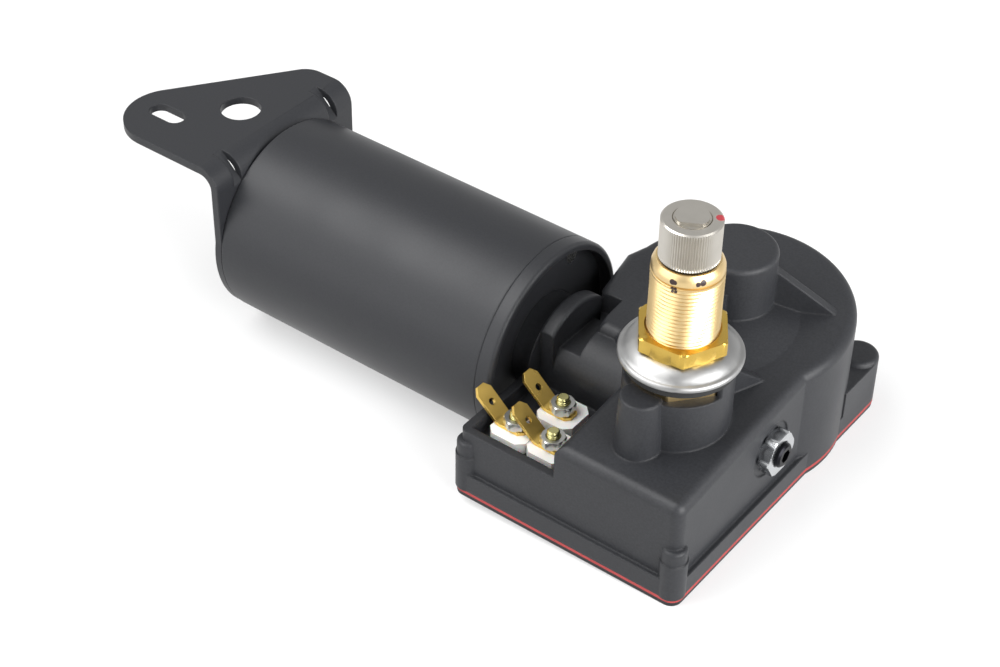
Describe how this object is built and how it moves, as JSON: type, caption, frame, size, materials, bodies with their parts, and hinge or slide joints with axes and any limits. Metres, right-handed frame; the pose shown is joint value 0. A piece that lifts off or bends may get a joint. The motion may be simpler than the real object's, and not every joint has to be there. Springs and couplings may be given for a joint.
{
  "type": "wiper motor",
  "caption": "Tubular motor with a worm gear case, a threaded bushing with a knurled swinging output, spade terminals and a rear bracket.",
  "frame": {"origin": "on the output shaft's axis, in the plane of the bushing's shoulder that a panel is clamped against", "axes": "+Z out along the output shaft, +X along the motor from its can to the end-play screw, +Y from the motor towards the worm gear"},
  "size_m": [0.1851, 0.0916, 0.09],
  "materials": {
    "black_casting": "satin black enamel over a zinc casting",
    "black_paint": "satin black paint",
    "red_gasket": "dull red gasket sheet",
    "black_rubber": "matt black rubber",
    "brass": "machined brass, slightly dulled",
    "bronze": "sintered bronze",
    "copper": "enamelled copper",
    "white_nylon": "natural nylon",
    "bright_steel": "bright plated steel",
    "nickel": "nickel plate",
    "zinc_steel": "zinc plated steel",
    "ground_steel": "ground steel",
    "ferrite": "dark ferrite",
    "core_steel": "oiled laminations",
    "brown_laminate": "brown phenolic laminate",
    "carbon": "carbon graphite"
  },
  "bodies": {
    "housing": {"gear_housing": "black_casting", "cover_gasket": "red_gasket", "cover_plate": "black_paint", "cover_screws": "zinc_steel", "motor_can": "black_paint", "front_end_cap": "black_paint", "rear_end_cap": "black_paint", "mounting_bracket": "black_paint", "through_bolts": "zinc_steel", "field_magnets": "ferrite", "brush_plate": "brown_laminate", "brush_holders": "brass", "carbon_brushes": "carbon", "brush_springs": "zinc_steel", "brush_holder_caps": "zinc_steel", "front_bush": "bronze", "rear_bush": "bronze", "tail_bush": "bronze", "thrust_pad": "white_nylon", "end_play_screw": "black_paint", "jam_nut": "zinc_steel", "gear_pivot_pin": "ground_steel", "gear_thrust_washer": "zinc_steel", "gear_clip": "zinc_steel", "pivot_bushing": "brass", "shaft_seal": "black_rubber", "rubber_washer": "black_rubber", "dome_washer": "bright_steel", "mounting_nut": "brass", "terminal_insulators": "white_nylon", "terminal_studs": "zinc_steel", "spade_terminals": "brass", "terminal_nuts": "zinc_steel", "park_switch_block": "brown_laminate", "park_contact_fingers": "brass"},
    "armature": {"armature_shaft": "ground_steel", "armature_core": "core_steel", "armature_windings": "copper", "commutator_core": "brown_laminate", "commutator_segments": "copper"},
    "gear": {"worm_gear": "white_nylon", "park_contact_ring": "brass", "crank_pin": "ground_steel"},
    "output": {"drive_lever": "zinc_steel", "lever_pin": "ground_steel", "lever_clip": "zinc_steel", "output_shaft": "ground_steel", "knurled_driver": "nickel", "lever_spacer": "zinc_steel"},
    "link": {"connecting_link": "zinc_steel", "link_journal": "ground_steel", "crank_clip": "zinc_steel"}
  },
  "joints": [
    {"name": "gear_spin", "type": "hinge", "parent": "housing", "child": "gear", "pos_m": [-0.0092, 0.037, -0.0255], "axis": [0, 0, 1], "continuous": true},
    {"name": "armature_spin", "type": "hinge", "parent": "housing", "child": "armature", "pos_m": [-0.08, 0.0131, -0.0255], "axis": [1, 0, 0], "continuous": true},
    {"name": "output_swing", "type": "hinge", "parent": "housing", "child": "output", "pos_m": [0, 0, 0], "axis": [0, 0, 1], "range_deg": [-40.3, 49.6]},
    {"name": "link_swing", "type": "hinge", "parent": "output", "child": "link", "pos_m": [0.01009, 0.00251, -0.0378], "axis": [0, 0, 1], "range_deg": [-49.6, 40.3]}
  ],
  "couplings": [
    {"joint": "gear_spin", "follows": "armature_spin", "ratio": -0.025641},
    {"joint": "link_swing", "follows": "output_swing", "ratio": -1}
  ]
}
